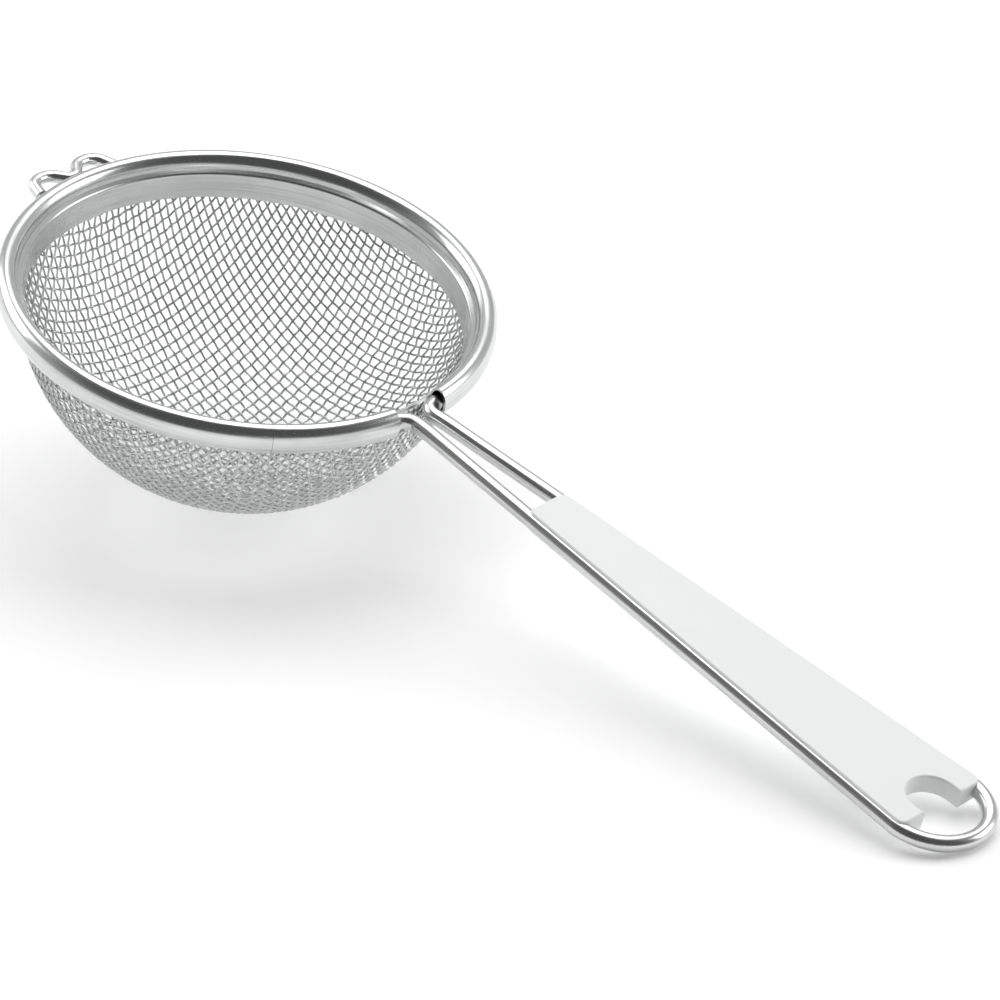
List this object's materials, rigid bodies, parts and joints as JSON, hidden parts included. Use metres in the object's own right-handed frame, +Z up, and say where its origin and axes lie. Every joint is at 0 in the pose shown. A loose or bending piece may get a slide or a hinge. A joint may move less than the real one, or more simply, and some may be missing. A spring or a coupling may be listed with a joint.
{
  "type": "tea strainer",
  "caption": "Hand-held tea strainer: woven wire bowl in a rolled steel rim, wire handle with a moulded grip, and an eared rest wire opposite.",
  "frame": {"origin": "centre of the footprint, on the table that the bowl's bottom and the handle's end stand on", "axes": "+X along the handle towards its hanging loop, +Z up, +Y completes the right-handed frame; the rim leans about 9.6 degrees down towards the handle"},
  "size_m": [0.1984, 0.08, 0.0424],
  "materials": {
    "rim_steel": "bright polished strip with fine lengthwise rolling lines",
    "mesh_steel": "bright drawn wire, woven plain",
    "wire_steel": "bright drawn wire, lightly polished",
    "grip_plastic": "white moulding with a soft sheen"
  },
  "bodies": {
    "root": {"rim_band": "rim_steel", "mesh_bowl": "mesh_steel", "handle_wire": "wire_steel", "rest_wire": "wire_steel", "handle_grip": "grip_plastic"}
  },
  "joints": []
}
